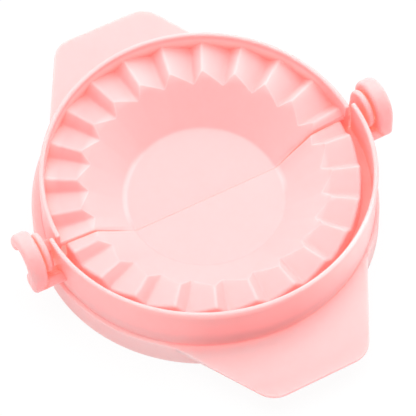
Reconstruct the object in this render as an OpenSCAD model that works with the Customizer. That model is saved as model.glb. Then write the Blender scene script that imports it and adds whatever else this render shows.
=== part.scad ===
// Hand press for half-moon dumplings and empanadas, moulded in one pink plastic.
// Two half-round shells open like a book on one hinge line. Each shell is a shallow bowl
// with a saw-tooth crimping ring round it, a rim wall, a cutting foot and a flat handle.
// The front rim is wider and closes round the back rim, and the crimping teeth mesh.
// +X runs along the hinge line, the front shell lies towards -Y, the table is z = 0.

/* [Pose] */
// Angle at which the parting faces of the two shells meet and stop the press opening
open_angle = 173; // [168:1:180]
// Gap that is left between the parting faces
parting_gap = 0.1; // [0.05:0.05:0.6]

/* [Bowl] */
// Thickness of the moulded walls
wall = 1.3; // [1:0.1:1.8]
// Height of the bowl floor's upper face above the table
floor_z = 8.2; // [7.5:0.1:10]
// Width of the bowl's slope, from the flat floor to the tooth ridges
slope_run = 12.1; // [9:0.1:15]
// Radius of the rounded edge between floor and slope
floor_edge_r = 2.5; // [1:0.1:4]

/* [Crimping ring] */
// Length of the front shell's tooth ridges
ring_width = 6.9; // [5:0.1:9]
// Height of the tooth ridges where they meet the bowl
ridge_z = 17.0; // [16.5:0.1:17.2]
// Upward slope of the ridges towards the rim, in degrees
ridge_rise = 5.5; // [2:0.5:6]
// Width taken off the sharp ridge, measured downwards
ridge_flat = 0.12; // [0.05:0.01:0.3]
// Angle from one tooth to the next
tooth_pitch = 15; // [10:5:20]
// Slope of a tooth's long face
tooth_slope = 19; // [14:1:20]
// Slope of a tooth's short steep face
tooth_riser = 43; // [40:1:60]
// Angle of the front shell's first ridge from the hinge line
front_phase = 6.2; // [5:0.1:7.5]
// Angle of the back shell's first ridge from the hinge line
back_phase = 3.6; // [2.5:0.1:4.5]

/* [Rim] */
// Height of the rim above the table
rim_z = 21.0; // [20:0.1:22]
// Inner radius of the front rim
front_rim_r = 42.0; // [41.5:0.1:44]
// How much the front rim's outside narrows towards the foot
rim_draft = 0.5; // [0:0.1:0.6]
// Play between the front rim and the back rim that closes into it
rim_play = 0.5; // [0.3:0.1:0.8]
// Clear space between the front teeth and the closed back rim
groove_play = 1.1; // [0.6:0.1:1.5]
// Height of the groove floor inside the front rim
groove_z = 11.4; // [10.8:0.1:11.8]

/* [Foot] */
// How far the cutting foot stands out beyond the rim
foot_step = 0.6; // [0.6:0.1:2.5]
// Height of the foot, which is also the height of the handle's upper face
foot_z = 6.8; // [5.5:0.1:7]

/* [Handle] */
// How far the handle reaches out from the foot
handle_length = 15.2; // [10:0.1:26]
// Half the width of the outer edge, measured to the sharp corner
handle_half = 13.3; // [10:0.1:18]
// Angle between the handle's side and the press's front-to-back line
handle_flare = 30; // [20:1:35]
// Radius of the handle's corners
handle_corner_r = 7.1; // [4:0.1:8]
// Thickness of the handle
handle_t = 1.8; // [1.4:0.1:2.5]

/* [Hinge] */
// Height of the hinge axis
hinge_z = 16.8; // [16.8:0.1:17.2]
// Outer radius of the bracket's hook
hook_r = 6.8; // [6.4:0.1:7.5]
// Angle above the level at which the hook ends, behind the hinge line
hook_end = 8; // [0:1:30]
// Thickness of the hook along the hinge line
hook_t = 4.3; // [3:0.1:5]
// Width of the bracket's post and web, front to back
post_w = 5.1; // [4.5:0.1:5.3]
// Height of the web's underside
web_z = 10.2; // [9:0.1:10.3]
// Thickness of the web that joins the bracket to the front rim
web_t = 1.4; // [1.2:0.1:1.5]
// Radius of the web's round front edge
web_edge_r = 1.5; // [1:0.1:1.6]
// Radius of the ear's round head
ear_r = 5.1; // [4.5:0.1:5.2]
// Thickness of the ear
ear_t = 1.8; // [1.5:0.1:2.5]
// Clear space between the front rim and the ear
ear_gap = 1.3; // [0.3:0.1:1.6]
// Sideways play between the ear and the hook
ear_play = 0.4; // [0.3:0.1:0.6]
// Distance from the hinge line to the front of the ear's root
ear_root_front = 1.6; // [1.4:0.1:2]
// Distance from the hinge line to the back of the ear's root
ear_root_back = 5.1; // [4.7:0.1:6.5]
// Height of the top of the ear's root, which passes over the front rim as the press closes
ear_root_z = 12.3; // [11:0.1:12.4]
// Radius of the hinge pin
pin_r = 3.2; // [2:0.1:3.4]
// Running clearance of the pin in the hook, on the radius
pin_play = 0.08; // [0.03:0.01:0.1]

/* [Hidden] */
$fn = 96;
lip_fn = 32;
pink = [0.98, 0.76, 0.76];
shade = [0.96, 0.70, 0.71];

// Rims, from the inside out
back_rim_r = front_rim_r - rim_play - wall;
front_ring_r = back_rim_r - groove_play;
front_rim_top_r = front_rim_r + wall;
front_rim_foot_r = front_rim_top_r - rim_draft;
lip_r = wall / 2;

// Bowl and foot follow the rims
mouth_r = front_ring_r - ring_width;
floor_r = mouth_r - slope_run;
foot_r = front_rim_top_r + foot_step;
handle_reach = foot_r + handle_length;

// Pose: the back shell is raised by this much, and the hinge line is set off so that the
// whole press is centred on the origin
raise = 180 - open_angle;
shell_reach = handle_reach + parting_gap / 2;
handle_z = foot_z - handle_t;
back_reach = shell_reach * cos(raise) + (hinge_z - handle_z) * sin(raise);
hinge_y = (shell_reach - back_reach) / 2;

// Bowl: slope of the wall and its thickness measured level
bowl_angle = atan2(ridge_z - floor_z, mouth_r - floor_r);
level_wall = wall / sin(bowl_angle);

// Teeth: the long face's share of the pitch, the depth from ridge to valley where the bowl
// ends, and the height below the deepest valley at which bowl and ring part
long_share = tan(tooth_riser) / (tan(tooth_riser) + tan(tooth_slope));
tooth_depth = tan(tooth_slope) * mouth_r * sin(tooth_pitch * long_share);
seam_margin = 0.3;
seam_z = ridge_z - tooth_depth - wall - seam_margin;

// Cutting shapes: how far a tooth's plane reaches inwards, outwards, down its face, past its
// ridge and up, and how far any cut runs past the material
plane_in = 8;
plane_out = 12;
plane_down = 14;
plane_past = 4;
plane_up = 9;
over = 1;

// Hinge, outwards from the rim; the web and the ear's root run on inwards to the rim wall,
// and the pin ends this far inside the hook's outer face
into_wall = 10;
pin_inset = 1.2;
ear_x = front_rim_top_r + ear_gap;
hook_x = ear_x + ear_t + ear_play;
bore_r = pin_r + pin_play;
post_back_y = post_w - hook_r;

// Ear: angle below the level at which its front edge leaves the round head, and the drop of
// that edge below the root's top
ear_front_angle = 35;
ear_front_drop = 1.2;

// Handle: share of the foot's radius at which its sides start, inside the foot
handle_root_share = 0.6;

// Radius of the bowl's inner face at a height
function bowl_r(z) = floor_r + (z - floor_z) / tan(bowl_angle);
// Radius of the bowl's outer face at a height
function bowl_outer_r(z) = bowl_r(z) + level_wall;
// Height of the ridges at a radius
function ridge_at(r) = ridge_z + (r - mouth_r) * tan(ridge_rise);
// Points on an arc about a centre, from one angle to another in equal steps
function arc(centre, r, from, to, steps) =
    [for (i = [0 : steps]) centre + r * [cos(from + (to - from) * i / steps),
                                         sin(from + (to - from) * i / steps)]];

// Turns a profile of radius and height half way round, from +X over +Y to -X. With a lean,
// the parting face below the hinge axis leans out by that angle
module half_turn(lean = 0)
    if (lean == 0)
        rotate_extrude(angle = 180) children();
    else
        intersection() {
            rotate_extrude() children();
            rotate([90, 0, 90]) linear_extrude(2 * (foot_r + over), center = true)
                polygon([[0, rim_z + over], [0, hinge_z],
                         [-(hinge_z + over) * tan(lean), -over],
                         [foot_r + over, -over], [foot_r + over, rim_z + over]]);
        }

// Puts a shell's parts, drawn over +Y, in their place on the front or the back
module in_front() translate([0, hinge_y - parting_gap / 2, 0]) rotate([0, 0, 180]) children();
module at_back() translate([0, hinge_y, hinge_z]) rotate([raise, 0, 0])
    translate([0, parting_gap / 2, -hinge_z]) children();

// ---- Shell parts, drawn over +Y ----

// The rounded edge is tangent to the floor and to the slope
module bowl(lean = 0) {
    edge_start = floor_r - floor_edge_r * tan(bowl_angle / 2);
    edge = arc([edge_start, floor_z + floor_edge_r], floor_edge_r, -90, -90 + bowl_angle, 6);
    under_z = floor_z - wall;
    half_turn(lean) polygon(concat(
        [[0, floor_z]], edge,
        [[bowl_r(seam_z), seam_z], [bowl_outer_r(seam_z), seam_z],
         [bowl_outer_r(under_z), under_z], [0, under_z]]));
}

// Everything above a plane through the ridge line at an angle: a positive tilt falls away
// clockwise along the tooth's long face, a negative one anticlockwise along its riser
module above_plane(angle, tilt)
    rotate([0, 0, angle]) translate([mouth_r, 0, ridge_z]) rotate([0, -ridge_rise, 0])
        rotate([tilt, 0, 0]) translate([-plane_in, tilt > 0 ? -plane_down : -plane_past, 0])
            cube([plane_in + plane_out, plane_down + plane_past, plane_up]);

// The saw-tooth space over the ring, one wedge between each ridge and the next
module tooth_spaces(phase)
    for (ridge = [phase : tooth_pitch : phase + 180])
        intersection() {
            above_plane(ridge, tooth_slope);
            above_plane(ridge - tooth_pitch, -tooth_riser);
        }

// A ring of even wall thickness whose upper and lower faces are both toothed. Where it ends
// below the seam, its outer edge is a thin skirt
module crimp_ring(phase, outer_r, skirt_z, lean = 0) {
    has_skirt = skirt_z < seam_z;
    hollow_r = has_skirt ? outer_r - wall : outer_r + over;
    difference() {
        half_turn(lean) polygon(concat(
            [[bowl_r(seam_z), seam_z], [bowl_r(ridge_z), ridge_z - ridge_flat],
             [outer_r, ridge_at(outer_r) - ridge_flat], [outer_r, skirt_z]],
            has_skirt ? [[hollow_r, skirt_z], [hollow_r, seam_z]] : []));
        tooth_spaces(phase);
        difference() {
            rotate_extrude() polygon([[bowl_outer_r(seam_z - over), seam_z - over],
                                      [bowl_outer_r(ridge_z - wall), ridge_z - wall],
                                      [hollow_r, ridge_at(hollow_r) - wall],
                                      [hollow_r, seam_z - over]]);
            translate([0, 0, -wall]) tooth_spaces(phase);
        }
    }
}

// The front rim wall, the groove inside it and the groove's floor
module front_rim_shell() {
    neck_r = front_rim_foot_r - wall;
    half_turn() union() {
        polygon([[neck_r, foot_z], [front_rim_foot_r, foot_z], [front_rim_top_r, rim_z - lip_r],
                 [front_rim_r, rim_z - lip_r], [front_rim_r, groove_z],
                 [front_ring_r - wall, groove_z], [front_ring_r - wall, groove_z - wall],
                 [neck_r, groove_z - wall]]);
        translate([front_rim_r + lip_r, rim_z - lip_r]) circle(r = lip_r, $fn = lip_fn);
    }
}

module back_rim_shell()
    half_turn(raise) union() {
        translate([back_rim_r, foot_z]) square([wall, rim_z - lip_r - foot_z]);
        translate([back_rim_r + lip_r, rim_z - lip_r]) circle(r = lip_r, $fn = lip_fn);
    }

// The foot is a thin wall with a shelf at its top that carries the rim
module foot_ring(shelf_r, lean = 0)
    half_turn(lean) union() {
        translate([foot_r - wall, 0]) square([wall, foot_z]);
        translate([shelf_r, foot_z - wall]) square([foot_r - shelf_r, wall]);
    }

module handle() {
    corner = [handle_half - handle_corner_r * tan((90 - handle_flare) / 2),
              handle_reach - handle_corner_r];
    right = arc(corner, handle_corner_r, handle_flare, 90, 8);
    left = [for (i = [len(right) - 1 : -1 : 0]) [-right[i][0], right[i][1]]];
    root_y = foot_r * handle_root_share;
    root_x = handle_half + (handle_reach - root_y) * tan(handle_flare);
    difference() {
        translate([0, 0, handle_z]) linear_extrude(handle_t)
            polygon(concat([[root_x, root_y]], right, left, [[-root_x, root_y]]));
        translate([0, 0, handle_z - over]) cylinder(r = foot_r, h = handle_t + 2 * over);
    }
}

// ---- Hinge parts of the right end, drawn about the hinge line ----

// Draws a profile of depth and height and gives it a thickness along +X
module along_x(x, t) translate([x, 0, 0]) rotate([90, 0, 90]) linear_extrude(t) children();

// Section of the web, whose front edge is a round bar
module web_profile() {
    translate([web_edge_r - hook_r, web_z + web_edge_r]) circle(r = web_edge_r);
    translate([web_edge_r - hook_r, web_z]) square([post_w - web_edge_r, web_t]);
}

// Section of the hook: it stands on a post in front of the hinge line, curls over the pin and
// ends round behind it, so that the pin snaps in from below
module hook_profile() {
    band_r = (hook_r + bore_r) / 2;
    difference() {
        union() {
            translate([0, hinge_z]) circle(r = hook_r);
            translate([-hook_r, web_z + web_edge_r])
                square([post_w, hinge_z - web_z - web_edge_r]);
            web_profile();
            translate([web_edge_r - hook_r, web_z]) square([post_w - web_edge_r, hook_r]);
        }
        translate([0, hinge_z]) circle(r = bore_r);
        polygon([[0, hinge_z], [foot_r * cos(hook_end), hinge_z + foot_r * sin(hook_end)],
                 [foot_r, -over], [post_back_y, -over], [post_back_y, hinge_z]]);
    }
    translate([band_r * cos(hook_end), hinge_z + band_r * sin(hook_end)])
        circle(r = (hook_r - bore_r) / 2);
}

// Hook and the web that carries it from the front rim
module bracket()
    difference() {
        union() {
            along_x(hook_x, hook_t) hook_profile();
            along_x(hook_x - into_wall, into_wall) web_profile();
        }
        translate([0, -parting_gap / 2, foot_z])
            cylinder(r1 = front_rim_foot_r, r2 = front_rim_top_r, h = rim_z - lip_r - foot_z);
    }

// Flat lug with a round head on the hinge axis, and a root that stands on the back foot
module ear()
    difference() {
        union() {
            along_x(ear_x, ear_t) {
                translate([0, hinge_z]) circle(r = ear_r);
                polygon([[-ear_r * cos(ear_front_angle), hinge_z - ear_r * sin(ear_front_angle)],
                         [ear_root_front, ear_root_z - ear_front_drop],
                         [ear_root_front, foot_z], [ear_root_back, foot_z],
                         [ear_root_back, ear_root_z], [ear_r, hinge_z]]);
            }
            translate([ear_x - into_wall, ear_root_front, foot_z])
                cube([into_wall + ear_t, ear_root_back - ear_root_front, ear_root_z - foot_z]);
        }
        translate([0, parting_gap / 2, foot_z - over]) cylinder(r = back_rim_r + wall, h = rim_z);
    }

// Plain stud that stands out from the ear into the hook
module pin()
    along_x(ear_x + ear_t, hook_x - ear_x - ear_t + hook_t - pin_inset)
        translate([0, hinge_z]) circle(r = pin_r);

// Puts the hinge parts that swing with the back shell in their place
module on_hinge() at_back() translate([0, -parting_gap / 2, 0]) children();

// ---- Placed sub-parts ----

module front_bowl() color(pink) in_front() bowl();
module front_crimp_ring() color(shade) in_front() crimp_ring(front_phase, front_ring_r, groove_z);
module front_rim() color(pink) in_front() front_rim_shell();
module front_foot_ring() color(shade) in_front() foot_ring(front_rim_foot_r - wall);
module front_handle() color(pink) in_front() handle();
module right_hinge_bracket() color(shade) translate([0, hinge_y, 0]) bracket();
module left_hinge_bracket() color(shade) translate([0, hinge_y, 0]) mirror([1, 0, 0]) bracket();

module back_bowl() color(pink) at_back() bowl(raise);
module back_crimp_ring() color(shade) at_back()
    crimp_ring(back_phase, back_rim_r, seam_z, raise);
module back_rim() color(pink) at_back() back_rim_shell();
module back_foot_ring() color(shade) at_back() foot_ring(back_rim_r, raise);
module back_handle() color(pink) at_back() handle();
module right_hinge_ear() color(pink) on_hinge() ear();
module left_hinge_ear() color(pink) on_hinge() mirror([1, 0, 0]) ear();
module right_hinge_pin() color(shade) on_hinge() pin();
module left_hinge_pin() color(shade) on_hinge() mirror([1, 0, 0]) pin();

front_bowl();
front_crimp_ring();
front_rim();
front_foot_ring();
front_handle();
left_hinge_bracket();
right_hinge_bracket();
back_bowl();
back_crimp_ring();
back_rim();
back_foot_ring();
back_handle();
left_hinge_ear();
right_hinge_ear();
left_hinge_pin();
right_hinge_pin();
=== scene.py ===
# %% [markdown]
# # An empanada press in pale pink plastic
# The press is two half-round shells that open like a book. The packed CAD model is loaded
# first: it fixes every size, the hinge and what moves with what. Its solids are plain and
# sharp. The pieces made below take their place, keep to their sizes, and have the rounded
# edges and the finish of a moulded part.

# %% Load the frame
import math
import bpy
from mathutils import Matrix, Vector


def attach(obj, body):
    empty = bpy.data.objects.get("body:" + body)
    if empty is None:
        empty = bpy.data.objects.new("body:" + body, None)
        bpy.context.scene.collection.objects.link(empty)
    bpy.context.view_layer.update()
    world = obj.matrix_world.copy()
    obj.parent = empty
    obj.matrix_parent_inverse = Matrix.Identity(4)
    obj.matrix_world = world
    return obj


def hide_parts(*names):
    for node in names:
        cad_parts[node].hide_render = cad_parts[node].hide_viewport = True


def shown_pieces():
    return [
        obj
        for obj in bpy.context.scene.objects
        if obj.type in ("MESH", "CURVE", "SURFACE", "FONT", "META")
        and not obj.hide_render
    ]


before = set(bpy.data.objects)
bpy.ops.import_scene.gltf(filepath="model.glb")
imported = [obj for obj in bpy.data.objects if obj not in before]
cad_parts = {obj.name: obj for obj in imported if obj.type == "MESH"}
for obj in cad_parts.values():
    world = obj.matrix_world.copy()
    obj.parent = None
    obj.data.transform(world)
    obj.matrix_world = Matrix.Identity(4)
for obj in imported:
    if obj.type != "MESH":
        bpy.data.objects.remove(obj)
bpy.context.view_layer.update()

MM = 0.001

# %% [markdown]
# ## The camera
# The photograph looks down on the press from the front left, from about 55 degrees up, with a
# long lens. A camera could be moved by eye until the picture fits. Here its place and its turn
# were worked out from the rims and the teeth, which are true circles and even steps on the
# real press, so the fit doesn't rest on a guess.

# %% Camera
PHOTO_PX = 416
FOCAL_PX = 2193.47
SENSOR_MM = 36
across = Vector((0.8826, -0.4691, -0.0310))
upwards = Vector((0.3993, 0.7131, 0.5762))
backwards = Vector((-0.2482, -0.5209, 0.8167))
stand = Vector((-138.82, -292.54, 461.85)) * MM
camera = bpy.data.objects.new("Camera", bpy.data.cameras.new("Camera"))
bpy.context.scene.collection.objects.link(camera)
bpy.context.scene.camera = camera
facing = Matrix((across, upwards, backwards)).transposed()
camera.matrix_world = Matrix.Translation(stand) @ facing.to_4x4()
camera.data.sensor_width = SENSOR_MM
camera.data.lens = FOCAL_PX / PHOTO_PX * SENSOR_MM
camera.data.clip_start = 0.01
camera.data.clip_end = 20
print("camera:", [round(v, 3) for v in camera.location], "lens", round(camera.data.lens, 1))

# %% [markdown]
# ## Helpers for modelling
# An operator works on all that is selected, so everything is deselected before a primitive is
# added. A finished piece gets its name and its smooth shading, rides on its half of the press,
# and stands for the CAD nodes that it replaces.

# %% Helpers
SMOOTH_UP_TO = math.radians(35)


def deselect_all():
    """Leave edit mode and select nothing."""
    if bpy.context.object and bpy.context.object.mode != "OBJECT":
        bpy.ops.object.mode_set(mode="OBJECT")
    bpy.ops.object.select_all(action="DESELECT")


def only(obj):
    """Select one object alone and make it the active one."""
    deselect_all()
    obj.select_set(True)
    bpy.context.view_layer.objects.active = obj


def put(obj, where):
    """Turn a piece drawn in millimetres into its place, in metres, within its own mesh."""
    obj.data.transform(Matrix.Scale(MM, 4) @ where)
    obj.data.update()


def finish_piece(obj, name, body, nodes):
    """Name a piece, smooth it, let it ride on its body and stand for its CAD nodes."""
    only(obj)
    obj.name = name
    obj.data.name = name
    bpy.ops.object.shade_smooth_by_angle(angle=SMOOTH_UP_TO)
    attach(obj, body)
    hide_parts(*nodes)
    print(name, len(obj.data.polygons), "faces")


print("edges are smooth up to", round(math.degrees(SMOOTH_UP_TO)), "degrees")

# %% [markdown]
# ## The sizes of the shells
# These are the CAD model's own sizes, in millimetres. They could be read off its mesh, but as
# named numbers they also say what each one is. Both halves share the bowl, the rim's height
# and the foot.

# %% Sizes of the shells
WALL = 1.3                             # thickness of every wall
FLOOR_Z, FLOOR_R = 8.2, 20.1           # the flat disc in the middle of the bowl
MOUTH_R, RIDGE_Z = 32.2, 17.0          # where the slope of the bowl meets a ridge
RIM_Z, FOOT_Z, FOOT_R = 21.0, 6.8, 43.9
FRONT_RIM_R, BACK_RIM_R = 42.0, 40.2   # inside of the rim walls
BOWL_SLOPE = (RIDGE_Z - FLOOR_Z) / (MOUTH_R - FLOOR_R)
print("bowl slope", round(math.degrees(math.atan(BOWL_SLOPE)), 1), "degrees")

# %% [markdown]
# ## Where the halves stand
# Each half is drawn over +Y with the hinge line along X, so that one function can make both.
# The front half is then turned half round. The back half is tilted about the hinge, because
# the parting faces of the real halves meet and stop it there.

# %% Places of the halves
HINGE_Y, HINGE_Z = -0.498, 16.8
GAP = 0.1       # between the parting faces at the hinge line
RAISE = 7.0     # degrees by which the open back half stands up
in_front = Matrix.Translation((0, HINGE_Y - GAP / 2, 0)) @ Matrix.Rotation(math.pi, 4, "Z")
at_back = (Matrix.Translation((0, HINGE_Y, HINGE_Z))
           @ Matrix.Rotation(math.radians(RAISE), 4, "X")
           @ Matrix.Translation((0, GAP / 2, -HINGE_Z)))
print("back rim raised by", round((at_back @ Vector((0, BACK_RIM_R, RIM_Z))).z - RIM_Z, 1), "mm")

# %% [markdown]
# ## The crimping teeth
# Every 15 degrees a ridge runs outwards. Clockwise from it the tooth's long face falls gently,
# and then a short steep riser climbs to the next ridge. One tooth could be modelled and copied
# round, but the copies would have to be merged, and the last ones cut. A formula for the height
# at every angle needs neither. Moulded plastic has no sharp edge, so the height is averaged
# over a small arc, which rounds every ridge and every valley.

# %% Tooth faces
PITCH = 15.0
LONG_SLOPE = math.tan(math.radians(19))
RISER_SLOPE = math.tan(math.radians(43))
RIDGE_RISE = math.tan(math.radians(5.5))
SOFTEN = 0.7                              # degrees to either side that are averaged
STEPS = [-1.0, -0.6, -0.2, 0.2, 0.6, 1.0]
WEIGHTS = [0.5, 1.0, 1.3, 1.3, 1.0, 0.5]


def sharp_drop(angle, phase):
    """Fall of the tooth face below the ridges, for each millimetre of radius."""
    past = (angle - phase) % PITCH
    riser = RISER_SLOPE * math.sin(math.radians(past))
    long_face = LONG_SLOPE * math.sin(math.radians(PITCH - past))
    return min(riser, long_face)


def drop(angle, phase):
    """The same fall with its kinks rounded."""
    total = sum(w * sharp_drop(angle + s * SOFTEN, phase) for s, w in zip(STEPS, WEIGHTS))
    return total / sum(WEIGHTS)


def tooth_z(radius, fall):
    """Height of the tooth face."""
    return RIDGE_Z + (radius - MOUTH_R) * RIDGE_RISE - radius * fall


def mouth_at(fall, bowl_start=FLOOR_R, low=0.0):
    """Radius at which the bowl's slope meets the tooth face."""
    level = RIDGE_Z - low - FLOOR_Z + bowl_start * BOWL_SLOPE - MOUTH_R * RIDGE_RISE
    return level / (BOWL_SLOPE - RIDGE_RISE + fall)


VALLEY = 4.05                             # degrees from a ridge to the valley after it
print("teeth", round(drop(VALLEY, 0) * MOUTH_R, 2), "mm deep at the mouth of the bowl")

# %% [markdown]
# The shell's grid needs many columns where its height turns quickly, at a ridge or a valley,
# and few on the flat faces. Even columns that are as fine would make twice as many faces.

# %% Columns of the grid
ON_FACES = [2.0, 3.0, 6.3, 8.2, 10.4, 12.6]
NEAR_ENDS = [0.5, 0.9, 1.4, 1.9, 2.5]
END_ROOM = 2.8
FRONT_PHASE, BACK_PHASE = 6.2, 3.6        # angle of the first ridge of each half


def columns(phase):
    """Angles of the columns round the half turn."""
    each = STEPS + [VALLEY + step for step in STEPS] + ON_FACES
    angles = set(NEAR_ENDS) | {180 - end for end in NEAR_ENDS}
    for ridge in range(-1, 13):
        for step in each:
            angle = phase + ridge * PITCH + step
            if END_ROOM < angle < 180 - END_ROOM:
                angles.add(round(angle, 3))
    return sorted(angles)


print("columns:", len(columns(FRONT_PHASE)), "in front,", len(columns(BACK_PHASE)), "at the back")

# %% [markdown]
# ## Round corners
# A section is written as its corners, each with a height, a distance out and the radius of its
# rounding. A Bevel modifier could round the finished mesh, but its width is limited by the
# smallest faces. Here each corner becomes a short curve before the mesh is made.

# %% Rounding a section
NEARLY_HALF = 0.48      # share of a side that one corner's curve may take


def eased(corners, steps=4):
    """Round the corners of a closed section: each becomes a short curve of equal steps."""
    points = []
    for i, (r, z, radius) in enumerate(corners):
        here = Vector((r, z))
        if radius == 0:
            points.append(here)
            continue
        before = Vector(corners[i - 1][:2]) - here
        after = Vector(corners[(i + 1) % len(corners)][:2]) - here
        reach = min(radius / math.tan(before.angle(after) / 2),
                    NEARLY_HALF * before.length, NEARLY_HALF * after.length)
        start, end = here + before.normalized() * reach, here + after.normalized() * reach
        for k in range(steps + 1):
            t = k / steps
            points.append((1 - t) ** 2 * start + 2 * t * (1 - t) * here + t ** 2 * end)
    return points


def shrunk(points, by):
    """The section drawn in by a hair, for a softened edge."""
    result = []
    for i, point in enumerate(points):
        along = points[(i + 1) % len(points)] - points[i - 1]
        if along.length > 0:
            along.normalize()
            point = point + Vector((along.y, -along.x)) * by
        result.append(point)
    return result


print("a rounded square has", len(eased([(x, z, 1) for x, z in
                                         ((0, 0), (0, 5), (5, 5), (5, 0))])), "points")

# %% [markdown]
# A grid that is rolled up still has a seam where its sides meet, and open ends. The seam is
# merged and the ends are filled. The faces are then turned outwards, because rolling can leave
# them inside out.

# %% Closing a rolled grid
WELD = 0.0005           # mm, under which two points are one


def close(obj):
    """Merge the seams of a rolled grid, fill its open ends and turn its faces outwards."""
    only(obj)
    bpy.ops.object.mode_set(mode="EDIT")
    bpy.ops.mesh.select_all(action="SELECT")
    bpy.ops.mesh.remove_doubles(threshold=WELD)
    bpy.ops.mesh.select_all(action="DESELECT")
    bpy.ops.mesh.select_mode(type="EDGE")
    bpy.ops.mesh.select_non_manifold()
    bpy.ops.mesh.fill_holes(sides=0)
    bpy.ops.mesh.select_all(action="SELECT")
    bpy.ops.mesh.normals_make_consistent(inside=False)
    bpy.ops.mesh.select_mode(type="VERT")
    bpy.ops.object.mode_set(mode="OBJECT")


def rolled_grid(columns_across, steps_round, spot):
    """Add a grid and move its point at each column and step to spot(column, step)."""
    deselect_all()
    bpy.ops.mesh.primitive_grid_add(x_subdivisions=columns_across, y_subdivisions=steps_round,
                                    size=2)
    grid = bpy.context.object
    for vertex in grid.data.vertices:
        column = round((vertex.co.x + 1) / 2 * columns_across)
        step = round((vertex.co.y + 1) / 2 * steps_round)
        vertex.co = spot(column, step)
    close(grid)
    return grid


print("points closer than", WELD, "mm are merged")

# %% [markdown]
# ## One shell as one moulding
# The bowl, teeth, rim and foot of a half are one moulding with the same section all the way
# round, except that the teeth rise and fall. Spin turns a section about an axis, but it can't
# change it on the way. So a flat grid is rolled up along the section: its rows follow the
# section and its columns go round the half turn. At the seam between the halves the edge is
# softened and slightly lowered. Below the hinge the back half's parting face leans out, and
# its edge on the slope and the teeth is rolled over.

# %% Points of a shell
SOFT_EDGE = 0.11                   # mm, softened edge of the parting face
FLAT_EDGE, SLOPE_EDGE = 0.4, 3.0   # times the soft edge, on the disc and on the slope
SEAM_DEPTH, SEAM_FADE = 0.25, 3    # mm that the seam is lowered, over mm past the disc
ROLL_WIDTH = 1.4                   # mm from the seam over which its edge is rolled over
ROLL_START, ROLL_FADE = FLOOR_R + 1, 4


def shell_point(r, z, angle, from_end, on_top, lean, roll):
    """Place of one point. from_end counts the columns from the nearest parting face."""
    face_y = -max(HINGE_Z - z, 0.0) * math.tan(math.radians(lean))
    up_slope = min(max(r - FLOOR_R, 0.0) / SEAM_FADE, 1.0)
    edge = SOFT_EDGE * (FLAT_EDGE + (SLOPE_EDGE - FLAT_EDGE) * up_slope)
    if from_end == 0:
        y = face_y
    elif from_end == 1:
        y = face_y + edge
    else:
        y = max(r * math.sin(math.radians(angle)), face_y + edge)
    x = math.copysign(math.sqrt(max(r * r - y * y, 0.0)), math.cos(math.radians(angle)))
    if on_top and from_end == 0:
        z -= SEAM_DEPTH * up_slope
    if on_top and r > ROLL_START:
        near = max(1 - (y - face_y) / ROLL_WIDTH, 0.0)
        z -= roll * near ** 2 * min((r - ROLL_START) / ROLL_FADE, 1.0)
    return Vector((x, y, z))


print("seam edge", round(SOFT_EDGE * SLOPE_EDGE, 2), "mm wide on the slope")

# %% [markdown]
# The grid has one column for each angle and two more at each end, for the parting face and its
# softened edge. The first and the last row lie in the middle of the bowl, above and below.

# %% Rolling up a shell
TOP_STEPS = 14          # points of a section on the floor, the slope and its mouth


def rolled_shell(section, phase, lean=0.0, roll=0.0):
    """Roll a grid up into a half-turn shell. section(fall) gives the corners at a column."""
    angles = columns(phase)
    rows = [eased(section(drop(angle, phase))) for angle in [0.0, *angles, 180.0]]
    rows = [shrunk(rows[0], SOFT_EDGE), *rows, shrunk(rows[-1], SOFT_EDGE)]
    turns = [0.0, 0.0, *angles, 180.0, 180.0]
    last = len(rows) - 1
    steps = len(rows[0]) - 1

    def spot(column, step):
        r, z = rows[column][step]
        if step in (0, steps):
            r = 0.0
        return shell_point(r, z, turns[column], min(column, last - column),
                           step < TOP_STEPS, lean, roll)

    return rolled_grid(last, steps, spot)


print("top of a section:", TOP_STEPS, "points")

# %% [markdown]
# ## What the sections share
# From the middle outwards a section has the flat floor, the slope up to the teeth, the rim with
# its fully round lip, and the foot that cuts the dough. It then goes back under the bowl at an
# even wall, as the real moulding is hollow below.

# %% Parts of a section
FLOOR_RINGS = [0.0, 1.5, 7.0, 13.0]
FLOOR_EDGE, MOUTH_EDGE, LIP, CORNER = 1.6, 0.55, 0.62, 0.3    # radii of roundings
FOOT_SHOULDER, FOOT_INNER, GROOVE_EDGE = 0.35, 0.2, 0.4
RING_EDGE, UNDER_EDGE = 1.0, 1.0
LEVEL_WALL = WALL * math.sqrt(1 + 1 / BOWL_SLOPE ** 2)        # the slope's wall, cut level


def bowl(fall):
    """Corners from the middle up to the mouth, where the teeth begin."""
    mouth = mouth_at(fall)
    return [*[(r, FLOOR_Z, 0) for r in FLOOR_RINGS], (FLOOR_R, FLOOR_Z, FLOOR_EDGE),
            (mouth, tooth_z(mouth, fall), MOUTH_EDGE)]


def rim_and_foot(rim_r, outer_r, inner_r):
    """Corners from the rim's lip down the outside and round the foot to its inside."""
    return [(rim_r, RIM_Z, LIP), (rim_r + WALL, RIM_Z, LIP),
            (outer_r, FOOT_Z, CORNER), (FOOT_R, FOOT_Z, FOOT_SHOULDER),
            (FOOT_R, 0.0, CORNER), (FOOT_R - WALL, 0.0, CORNER),
            (FOOT_R - WALL, FOOT_Z - WALL, CORNER), (inner_r, FOOT_Z - WALL, FOOT_INNER)]


def under_bowl(fall, ring_r):
    """Corners of the underside, from the ring's outer edge in to the middle."""
    start = FLOOR_R + LEVEL_WALL
    mouth = mouth_at(fall, start, WALL)
    return [(ring_r, tooth_z(ring_r, fall) - WALL, CORNER),
            (mouth, tooth_z(mouth, fall) - WALL, CORNER),
            (start - WALL / BOWL_SLOPE, FLOOR_Z - WALL, UNDER_EDGE),
            *[(r, FLOOR_Z - WALL, 0) for r in reversed(FLOOR_RINGS)]]


print("wall of the slope, measured level:", round(LEVEL_WALL, 2), "mm")

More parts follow.
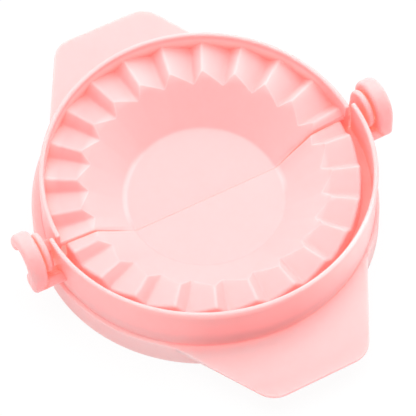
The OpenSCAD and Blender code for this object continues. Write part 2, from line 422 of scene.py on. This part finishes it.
# %% [markdown]
# ## The front shell
# The front half has a groove between its teeth and its rim, into which the back rim dips when
# the press is closed. The groove could be cut in later with a Boolean modifier. As four corners
# of the section it is there from the start, with its own roundings. The outer wall leans in a
# little towards the foot.

# %% Front shell
FRONT_RING_R, GROOVE_Z = 39.1, 11.4
WALL_FOOT_OUT, WALL_FOOT_IN = FRONT_RIM_R + 0.8, FRONT_RIM_R - 0.5


def front_section(fall):
    """Corners of the front half, clockwise from the middle of the floor."""
    ring_in = FRONT_RING_R - WALL
    return [*bowl(fall), (FRONT_RING_R, tooth_z(FRONT_RING_R, fall), RING_EDGE),
            (FRONT_RING_R, GROOVE_Z, GROOVE_EDGE), (FRONT_RIM_R, GROOVE_Z, GROOVE_EDGE),
            *rim_and_foot(FRONT_RIM_R, WALL_FOOT_OUT, WALL_FOOT_IN),
            (WALL_FOOT_IN, GROOVE_Z - WALL, CORNER), (ring_in, GROOVE_Z - WALL, CORNER),
            *under_bowl(fall, ring_in)]


front_shell = rolled_shell(front_section, FRONT_PHASE)
put(front_shell, in_front)
finish_piece(front_shell, "front_shell", "front_half",
             ["front_bowl", "front_crimp_ring", "front_rim", "front_foot_ring"])

# %% [markdown]
# ## The back shell
# The back half has no groove: its teeth run out to the rim wall, which is narrower, so that it
# closes inside the front rim. The front shell could be copied and changed, but a section of its
# own is simpler, and what both share comes from the same functions.

# %% Back shell
BACK_ROLL = 0.7         # mm by which the edge at the seam is rolled over


def back_section(fall):
    """Corners of the back half, clockwise from the middle of the floor."""
    return [*bowl(fall), (BACK_RIM_R, tooth_z(BACK_RIM_R, fall), GROOVE_EDGE),
            *rim_and_foot(BACK_RIM_R, BACK_RIM_R + WALL, BACK_RIM_R),
            *under_bowl(fall, BACK_RIM_R)]


back_shell = rolled_shell(back_section, BACK_PHASE, lean=RAISE, roll=BACK_ROLL)
put(back_shell, at_back)
finish_piece(back_shell, "back_shell", "back_half",
             ["back_bowl", "back_crimp_ring", "back_rim", "back_foot_ring"])

# %% [markdown]
# ## Thick rounded shapes
# Handles, hooks, ears and studs are outlines with a thickness and soft edges, like pebbles. An
# extruded outline with a Bevel modifier would do for some, but not for the handles, whose upper
# and lower edges differ and whose root stays sharp. So a flat grid is rolled up into a tube
# whose rings are the outline. Towards both ends the rings shrink along a quarter circle.

# %% Rolling up a pebble
def arc(centre, radius, start, stop, step=7.5):
    """Sharp corners of a section, on an arc between two angles in degrees."""
    count = max(round(abs(stop - start) / step), 1)
    angles = [math.radians(start + (stop - start) * k / count) for k in range(count + 1)]
    return [(centre[0] + radius * math.cos(a), centre[1] + radius * math.sin(a), 0)
            for a in angles]


def quarter(x_end, inwards, radius):
    """Rings from a flat end to the full outline: each one's x and how far it is drawn in."""
    turns = [math.radians(90 - 15 * k) for k in range(7)]
    return [(x_end + inwards * radius * (1 - math.sin(t)), radius * (1 - math.cos(t)))
            for t in turns]


def pebble(corners, x_from, x_to, from_radius, to_radius, steps=4, root_r=0.0):
    """A tube along X with the outline given by its corners (clockwise) and rounded ends.
    Points of the outline within root_r of the middle are a root, which isn't rounded."""
    outline = eased(corners, steps)
    inwards = math.copysign(1, x_to - x_from)
    rings = quarter(x_from, inwards, from_radius)
    rings += reversed(quarter(x_to, -inwards, to_radius))
    drawn = [[old if old.length < root_r else new
              for old, new in zip(outline, shrunk(outline, inset))] for _, inset in rings]
    count = len(outline)

    def spot(ring, step):
        return Vector((rings[ring][0], *drawn[ring][step % count]))

    return rolled_grid(len(rings) - 1, count, spot)


print("a quarter circle has", len(quarter(0, 1, 1)), "rings")

# %% [markdown]
# ## The handles
# Each handle is a flat plate that flares towards the shell, with two round corners. Its upper
# edge is crisp and its lower edge is well rounded. It is a pebble too: drawn along X, and then
# turned so that X points up. Its root ends inside the wall of the foot.

# %% Handles
HANDLE_REACH, HANDLE_HALF, HANDLE_CORNER = 59.1, 13.3, 7.1
HANDLE_T, HANDLE_TOP = 1.8, FOOT_Z + 0.03
LOWER_EDGE, UPPER_EDGE = 1.45, 0.2
HANDLE_ROOT_R, HANDLE_ROOT_X = 42.65, 28.95
x_up = Matrix(((0, 1, 0, 0), (0, 0, 1, 0), (1, 0, 0, 0), (0, 0, 0, 1)))


def handle(name, body, node, where):
    """Make one handle and put it on its half."""
    root = math.degrees(math.acos(HANDLE_ROOT_X / HANDLE_ROOT_R))
    plate = pebble([*arc((0, 0), HANDLE_ROOT_R, root, 180 - root, 4),
                    (-HANDLE_HALF, HANDLE_REACH, HANDLE_CORNER),
                    (HANDLE_HALF, HANDLE_REACH, HANDLE_CORNER)],
                   HANDLE_TOP - HANDLE_T, HANDLE_TOP, LOWER_EDGE, UPPER_EDGE, steps=10,
                   root_r=HANDLE_ROOT_R + 0.1)
    put(plate, where @ x_up)
    finish_piece(plate, name, body, [node])


handle("front_handle_plate", "front_half", "front_handle", in_front)
handle("back_handle_plate", "back_half", "back_handle", at_back)

# %% [markdown]
# ## The hooks
# At each end of the hinge the front half has a hook on a short web. The hook is open below and
# behind, so that the stud snaps in. It could be cut out of a disc, but a cut leaves its edges
# sharp. So its outline is drawn as two arcs about the hinge with a round nose between them, and
# becomes a pebble, with the hinge line over the origin.

# %% Hooks
HOOK_R, BORE_R, HOOK_X, HOOK_T, HOOK_EDGE = 6.8, 3.28, 46.8, 4.3, 1.2
HOOK_END, BORE_END = 8, 222                     # degrees round the hinge
POST_BACK, POST_TOP = -1.7, 13.7                # back face of the post and its upper end
TOE_ROUND, HEEL_ROUND, POST_ROUND = 1.7, 1.3, 0.8
WEB_Z, WEB_ROUND, WEB_T, WEB_X = 10.2, 1.5, 1.4, 42.1
WEB_STEP, WEB_CORNER, WEB_OVERLAP = 1.9, 0.4, 1.5
HIDDEN_EDGE = 0.1                               # for ends that lie inside another piece
hinge_line = (0, HINGE_Z)


def joined(first, second):
    """Make two overlapping pieces one object."""
    only(first)
    second.select_set(True)
    bpy.ops.object.join()
    return first


def hook_and_web(side):
    """The hook, and the web that carries it, of the left (-1) or right (1) end."""
    band = (HOOK_R + BORE_R) / 2
    nose = (band * math.cos(math.radians(HOOK_END)),
            HINGE_Z + band * math.sin(math.radians(HOOK_END)))
    hook = pebble([(-HOOK_R, WEB_Z, TOE_ROUND), *arc(hinge_line, HOOK_R, 180, HOOK_END + 8),
                   *arc(nose, HOOK_R - band, HOOK_END, HOOK_END - 180, 20),
                   *arc(hinge_line, BORE_R, HOOK_END + 8, BORE_END),
                   (POST_BACK, POST_TOP, POST_ROUND), (POST_BACK, WEB_Z, HEEL_ROUND)],
                  side * HOOK_X, side * (HOOK_X + HOOK_T), HOOK_EDGE, HOOK_EDGE)
    bar = (WEB_ROUND - HOOK_R, WEB_Z + WEB_ROUND)
    web_top = WEB_Z + WEB_T
    web = pebble([*arc(bar, WEB_ROUND, 270, 90, 20), *arc(bar, WEB_ROUND, 70, 10, 20),
                  (bar[0] + WEB_STEP, web_top, CORNER), (POST_BACK, web_top, WEB_CORNER),
                  (POST_BACK, WEB_Z, WEB_CORNER)],
                 side * WEB_X, side * (HOOK_X + WEB_OVERLAP), HIDDEN_EDGE, HIDDEN_EDGE)
    return joined(hook, web)


print("hook band", round(HOOK_R - BORE_R, 2), "mm wide, bore radius", BORE_R, "mm")

# %% [markdown]
# ## The ears and studs
# The back half has an ear at each end, with a round head and a root on the rim wall. A stud
# stands out from the head and turns in the hook. It has a little play, so that it turns freely.
# A cylinder would do for the stud, but as a pebble its free end gets its round edge at once.

# %% Ears and studs
EAR_R, EAR_X, EAR_T, EAR_EDGE = 5.1, 44.6, 1.8, 0.75
EAR_FRONT, EAR_BACK, EAR_ROOT_Z, EAR_ROOT_X = 1.6, 5.1, 12.3, 40.8
EAR_FACE, HEAD_START = EAR_X + EAR_T, 215       # HEAD_START in degrees round the hinge
EAR_FOOT_ROUND, EAR_NECK, EAR_NECK_ROUND = 0.8, EAR_ROOT_Z - 1.2, 1.0
ROOT_ROUND, ROOT_OVERLAP = 0.5, 1.0
STUD_R, STUD_LENGTH, STUD_EDGE = 3.2, 3.5, 0.4
SHARP = 0.01            # mm, too small a rounding to see


def ear_and_root(side):
    """The ear's head, and the root that ties it to the rim wall."""
    ear = pebble([*arc(hinge_line, EAR_R, HEAD_START, 0),
                  (EAR_BACK, FOOT_Z, EAR_FOOT_ROUND), (EAR_FRONT, FOOT_Z, EAR_FOOT_ROUND),
                  (EAR_FRONT, EAR_NECK, EAR_NECK_ROUND)],
                 side * EAR_X, side * EAR_FACE, EAR_EDGE, EAR_EDGE)
    root = pebble([(EAR_FRONT, FOOT_Z, CORNER), (EAR_FRONT, EAR_ROOT_Z, ROOT_ROUND),
                   (EAR_BACK, EAR_ROOT_Z, ROOT_ROUND), (EAR_BACK, FOOT_Z, CORNER)],
                  side * EAR_ROOT_X, side * (EAR_X + ROOT_OVERLAP), HIDDEN_EDGE, HIDDEN_EDGE)
    return joined(ear, root)


def stud_at(side):
    """The stud, sharp where it meets the ear and rounded at its free end. Its circle ends one
    step of 7.5 degrees before it closes."""
    return pebble(arc(hinge_line, STUD_R, 180, -172.5),
                  side * EAR_FACE, side * (EAR_FACE + STUD_LENGTH), SHARP, STUD_EDGE)


print("play of the stud in the hook:", round(BORE_R - STUD_R, 2), "mm on the radius")

# %% [markdown]
# Both ends of the hinge are alike, so one loop makes them. A mirrored copy would do as well,
# but it would have to be turned outwards again.

# %% Hinge
axis_in_front = Matrix.Translation((0, HINGE_Y, 0))
axis_at_back = at_back @ Matrix.Translation((0, -GAP / 2, 0))

for end, side in (("left", -1), ("right", 1)):
    hook = hook_and_web(side)
    put(hook, axis_in_front)
    finish_piece(hook, end + "_hook", "front_half", [end + "_hinge_bracket"])
    ear = ear_and_root(side)
    put(ear, axis_at_back)
    finish_piece(ear, end + "_ear", "back_half", [end + "_hinge_ear"])
    stud = stud_at(side)
    put(stud, axis_at_back)
    finish_piece(stud, end + "_stud", "back_half", [end + "_hinge_pin"])

# %% [markdown]
# ## Shader maths in Python
# A material is a tree of nodes. Its sums could be clicked together from Math nodes, but they
# are hard to read. This small class lets a sum be written as Python, and adds the nodes for it.

# %% Sockets with arithmetic
class Sock:
    """A shader socket with Python arithmetic: every operation adds a Math node."""

    def __init__(self, socket):
        self.socket = socket
        self.tree = socket.id_data

    def _math(self, operation, *values):
        settings = {"operation": operation}
        return Sock(add_node(self.tree, "ShaderNodeMath", settings,
                             dict(enumerate(values))).outputs[0])

    def __add__(self, other):
        return self._math("ADD", self, other)

    def __sub__(self, other):
        return self._math("SUBTRACT", self, other)

    def __rsub__(self, other):
        return self._math("SUBTRACT", other, self)

    def __mul__(self, other):
        return self._math("MULTIPLY", self, other)

    def __pow__(self, other):
        return self._math("POWER", self, other)

    def __rpow__(self, other):
        return self._math("POWER", other, self)

    def __abs__(self):
        return self._math("ABSOLUTE", self)

    __radd__, __rmul__ = __add__, __mul__

    def clamped(self):
        """The value held between 0 and 1."""
        return self._math("MINIMUM", self._math("MAXIMUM", self, 0.0), 1.0)


print("reflected operators:", [name for name in vars(Sock) if name.startswith("__r")])

# %% [markdown]
# Every other node is added by one function, which sets its choices first, because they decide
# which sockets it has. Colours are mixed by a node of their own: a Math node would make them
# grey.

# %% Adding a node
def set_inputs(node, values):
    """Link or set the input sockets that are given by their names or numbers."""
    for key, value in values.items():
        if isinstance(value, Sock):
            value.tree.links.new(value.socket, node.inputs[key])
        else:
            node.inputs[key].default_value = value


def add_node(tree, kind, settings=None, values=None):
    """Add a node, set its settings first and then the values or links of its sockets."""
    node = tree.nodes.new(kind)
    for name, value in (settings or {}).items():
        setattr(node, name, value)
    set_inputs(node, values or {})
    return node


def mix(factor, first, second):
    """A colour that is first where the factor is 0 and second where it is 1."""
    node = add_node(factor.tree, "ShaderNodeMix", {"data_type": "RGBA"},
                    {0: factor, 6: first, 7: second})
    return Sock(node.outputs[2])


print("a colour Mix reads sockets 0, 6 and 7, since its names repeat")

# %% [markdown]
# ## Places on the press
# Some finishes change from place to place. They could be painted on a picture, but then every
# piece would need a UV map. Object coordinates give the place itself, here in millimetres. Two
# ramps, above and below, say how far a value is past a limit.

# %% Places
plastic = bpy.data.materials.new("pink_plastic")
plastic.use_nodes = True
tree = plastic.node_tree
shader = tree.nodes["Principled BSDF"]
on_piece = Sock(add_node(tree, "ShaderNodeTexCoord").outputs["Object"])
split = add_node(tree, "ShaderNodeSeparateXYZ", {}, {0: on_piece})
width, depth, height = [Sock(split.outputs[axis]) * 1000 for axis in "XYZ"]
radius = (width * width + depth * depth) ** 0.5


def above(value, start, over):
    """0 up to start and 1 from start + over on, with an even ramp between."""
    return ((value - start) * (1 / over)).clamped()


def below(value, end, over):
    """1 up to end - over and 0 from end on, with an even ramp between."""
    return ((end - value) * (1 / over)).clamped()


off_foot = above(height, FOOT_Z - 0.6, 2 / 3)
off_shelf = above(height, FOOT_Z + 0.1, 0.5)
off_handle = above(height, 9.0, 2.5)
on_outer_wall = above(radius, FRONT_RIM_R + 0.5, 0.5)
print(plastic.name, "has", len(tree.nodes), "nodes for its places")

# %% [markdown]
# ## Narrow places
# The real press is polypropylene that lets some light in. Between its own walls the light
# bounces until only red is left, so narrow places glow coral. A renderer would need very many
# bounces for that. Ambient occlusion finds the narrow places at once: it is low where other
# walls are near. The foot and the handles lie open and keep their colour.

# %% Narrow places
NEAR_WALLS = 3.5 * MM
ON_HANDLE = 0.1         # share of the coral that is left on the handles
TEETH_LESS = 0.1        # share of it that the open teeth lose
occlusion = add_node(tree, "ShaderNodeAmbientOcclusion", {"samples": 6},
                     {"Distance": NEAR_WALLS})
closed_in = (1 - Sock(occlusion.outputs["AO"])).clamped()
in_teeth = below(radius, BACK_RIM_R + 0.3, 1.25) * above(height, GROOVE_Z + 0.1, 2.0)
left_on_handle = off_handle * (1 - ON_HANDLE) + ON_HANDLE
crevice = closed_in * off_foot * left_on_handle * (1 - in_teeth * TEETH_LESS)
print("walls within", NEAR_WALLS / MM, "mm close a place in")

# %% [markdown]
# ## Paler bands of painted light
# These bands are painted light. Where light comes through a thin wall from behind, the plastic
# is painted paler: inside the back rim, and along the front rim and its handle. The sides of the
# bowls are painted paler too, and a fine crease round the sides of the disc gets a painted
# highlight. More lamps would light the rest as well. Each band is a product of ramps, with its
# limits and widths in millimetres, so it belongs to the press and stays put when the view
# changes.

# %% Paler bands of painted light
TILT = 0.12                         # rise of the open back half, for each millimetre of depth
SIDES_SHARE, CREASE_SHARE = 0.35, 0.8
level = height - depth * TILT
back_rim = above(level, 15.5, 2.0) * below(level, 20.2, 1.25) * above(depth, 7.0, 5.0)
wall_start = off_shelf * 50 - 48    # the band starts farther left on the shelf and the handle
front_rim = (on_outer_wall * below(radius, 56.5, 10) * above(width, wall_start, 20)
             * below(width, 34, 20 / 3) * below(depth, 0, 2))
left_side = below(width, -6.25, 12.5) * above(depth, -10, 10)
right_side = above(width, 6.25, 12.5) * below(depth, 0, 5)
bowl_sides = (below(radius, MOUTH_R - 0.4, 5 / 6) * above(radius, FLOOR_R - 0.4, 1.25)
              * (left_side + right_side))
left_arc = below(width, -7, 5) * above(depth, 0.8, 4)
right_arc = above(width, 7, 5) * below(depth, 0, 1) * above(depth, -26 / 3, 10 / 3)
crease = below(abs(radius - (FLOOR_R + 0.3)), 0.9, 2 / 3) * (left_arc + right_arc)
paler = (back_rim + front_rim + bowl_sides * SIDES_SHARE + crease * CREASE_SHARE).clamped()
print(len(tree.nodes), "nodes with the paler bands")

# %% [markdown]
# ## Bands of painted shade
# Where little light falls, the plastic is painted darker: painted shade on the teeth at the back
# left and low on the front wall. A second, darker material would end in a hard line, so these are
# ramps as well.

# %% Bands of painted shade
TEETH_SHARE = 0.7
shaded_teeth = (above(radius, 30, 2) * below(radius, 39, 2.5)
               * below(width, 0, 50 / 3) * above(depth, 0, 10))
shaded_wall = (on_outer_wall * below(radius, FOOT_R + 0.6, 0.5) * off_shelf
              * below(width, 12, 25) * above(width, -36, 50 / 3)
              * below(depth, 0, 10) * below(height, 20, 1))
painted_shade = (shaded_teeth * TEETH_SHARE + shaded_wall).clamped()
print(len(tree.nodes), "nodes with the denser bands")

# %% [markdown]
# ## The colour
# The bands and the narrow places are mixed into one pale pink, one after the other. A picture
# The painted light and shade of the bands and the painted coral light of the narrow places are
# mixed into one pale pink, one after the other. A picture could hold all of them, but it would
# fix their detail. The pink is written a little deeper than it looks, because the skin also
# reflects white light.

# %% Colour
PALE = (0.97, 0.47, 0.47, 1)
# painted light: the paler pink of the lit bands
BACKLIT = (1.0, 0.60, 0.60, 1)
# painted shade: the darker pink of the shaded bands
SHADED_PINK = (0.82, 0.39, 0.39, 1)
# painted bounced light: the coral of the narrow places
CORAL = (0.9, 0.12, 0.09, 1)
CORAL_CURVE = 1.5       # above 1 keeps the coral to the narrowest places
pink = mix(painted_shade, mix(paler, PALE, BACKLIT), SHADED_PINK)
set_inputs(shader, {"Base Color": mix((crevice ** CORAL_CURVE).clamped(), pink, CORAL)})
print("colours from", PALE[:3], "to", CORAL[:3])

# %% [markdown]
# ## Light from inside
# In the narrowest places the red light also comes out of the plastic itself, and the foot under
# the front wall glows faintly at the left, where light comes through it from the paper. Lamps
# inside the walls could do it, but they would tint all that is near. A little emission stands
# for both.

# %% Glow
BLACK = (0, 0, 0, 1)
DEEP_GLOW = (1.0, 0.22, 0.16, 1)
FOOT_GLOW = (1.0, 0.52, 0.50, 1)
FOOT_SHARE, WALL_LESS = 0.11, 0.05
GLOW_CURVE, LOW_SHARE, GLOW_STRENGTH = 1.6, 0.6, 0.8
deep = closed_in ** GLOW_CURVE * off_foot * (off_handle * (1 - LOW_SHARE) + LOW_SHARE)
foot_skirt = (on_outer_wall * below(radius, FOOT_R + 0.7, 0.5)
              * (1 - off_handle) * below(depth, 0, 2))
foot_light = foot_skirt * below(width, 0, 25) * (FOOT_SHARE - off_shelf * WALL_LESS)
set_inputs(shader, {"Emission Color": mix(foot_light, mix(deep, BLACK, DEEP_GLOW), FOOT_GLOW),
                    "Emission Strength": GLOW_STRENGTH})
print("the foot's glow is up to", FOOT_SHARE, "of", FOOT_GLOW[:3])

# %% [markdown]
# ## The satin skin
# The skin is satin, with an unevenness too fine to see as bumps. Real bumps would need millions
# of faces, so a fine noise changes the roughness a little and tilts the surface by a hair.
# Subsurface scattering lets light a few millimetres into the plastic, which softens its
# shading.

# %% Skin
noise = add_node(tree, "ShaderNodeTexNoise", {}, {"Scale": 900.0, "Detail": 2.0,
                                                  "Vector": on_piece})
skin = Sock(noise.outputs["Fac"])
bump = add_node(tree, "ShaderNodeBump", {}, {"Strength": 0.06, "Distance": 0.2 * MM,
                                             "Height": skin})
set_inputs(shader, {"Roughness": skin * 0.10 + 0.33, "Normal": Sock(bump.outputs[0]),
                    "Specular IOR Level": 0.3, "Subsurface Weight": 0.8,
                    "Subsurface Radius": (1.0, 0.7, 0.65), "Subsurface Scale": 4 * MM})
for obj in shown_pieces():
    if obj.type == "MESH":
        obj.data.materials.clear()
        obj.data.materials.append(plastic)
print(plastic.name, "has", len(tree.nodes), "nodes")

# %% [markdown]
# ## The floor
# The press lies on white paper. Brighter lamps would make the paper white, but they would also
# bleach the plastic. So the paper gives off part of its white itself: it stays white to the
# camera and still keeps the soft shadow. Under the press it is tinted, because what reaches
# the paper there has come through pink plastic.

# %% Floor
deselect_all()
bpy.ops.mesh.primitive_plane_add(size=6, location=(0, 0, 0))
floor = bpy.context.object
floor.name = "floor"
print("floor", tuple(floor.dimensions), "m")

# %% [markdown]
# A Mix Shader blends the matt paper with its own glow. Light Path tells it whether the camera
# looks at the paper, where the glow may be stronger than the one that lights the press.

# %% Paper
WHITE = (1, 1, 1, 1)
UNDER_PRESS = (0.95, 0.36, 0.31, 1)
OWN_GLOW, GLOW_SEEN = 0.5, 0.43
OPEN_FROM, OPEN_OVER = 38, 6.25     # mm from the middle of the press
paper = bpy.data.materials.new("white_paper")
paper.use_nodes = True
sheet = paper.node_tree
matt = sheet.nodes["Principled BSDF"]
set_inputs(matt, {"Base Color": (0.92, 0.92, 0.92, 1), "Roughness": 0.9,
                  "Specular IOR Level": 0.0})
on_sheet = Sock(add_node(sheet, "ShaderNodeTexCoord").outputs["Object"])
out_from_press = Sock(add_node(sheet, "ShaderNodeVectorMath", {"operation": "LENGTH"},
                               {0: on_sheet}).outputs["Value"])
in_the_open = above(out_from_press * 1000, OPEN_FROM, OPEN_OVER)
glow = add_node(sheet, "ShaderNodeEmission", {}, {"Color": mix(in_the_open, UNDER_PRESS, WHITE)})
seen = Sock(add_node(sheet, "ShaderNodeLightPath").outputs["Is Camera Ray"])
blend = add_node(sheet, "ShaderNodeMixShader", {}, {0: seen * GLOW_SEEN + OWN_GLOW,
                                                    1: Sock(matt.outputs[0]),
                                                    2: Sock(glow.outputs[0])})
set_inputs(sheet.nodes["Material Output"], {"Surface": Sock(blend.outputs[0])})
floor.data.materials.append(paper)
print("share of the paper's white that is its own glow:", OWN_GLOW,
      "and to the camera", round(OWN_GLOW + GLOW_SEEN, 2))

# %% [markdown]
# ## The light
# The photograph was taken in soft, even light with no hard shadow. Several lamps could give
# it, but each would add a shadow of its own. A white world gives light from all sides, and one
# large lamp above and behind gives the faces their slight difference.

# %% Light
LAMP_SIZE, LAMP_WATTS, WORLD_STRENGTH = 1.4, 14.5, 0.62
lamp_at = Vector((0.2, 0.3, 0.85))
aimed_at = Vector((0, 0, 0.01))
lamp = bpy.data.objects.new("key", bpy.data.lights.new("key", "AREA"))
lamp.data.size = LAMP_SIZE
lamp.data.energy = LAMP_WATTS
lamp.location = lamp_at
lamp.rotation_euler = (aimed_at - lamp_at).to_track_quat("-Z", "Y").to_euler()
bpy.context.scene.collection.objects.link(lamp)
world = bpy.data.worlds.new("studio")
bpy.context.scene.world = world
world.use_nodes = True
set_inputs(world.node_tree.nodes["Background"], {"Color": WHITE, "Strength": WORLD_STRENGTH})
bpy.context.scene.view_settings.view_transform = "Standard"
print("lamp", round((aimed_at - lamp_at).length, 2), "m from the press")
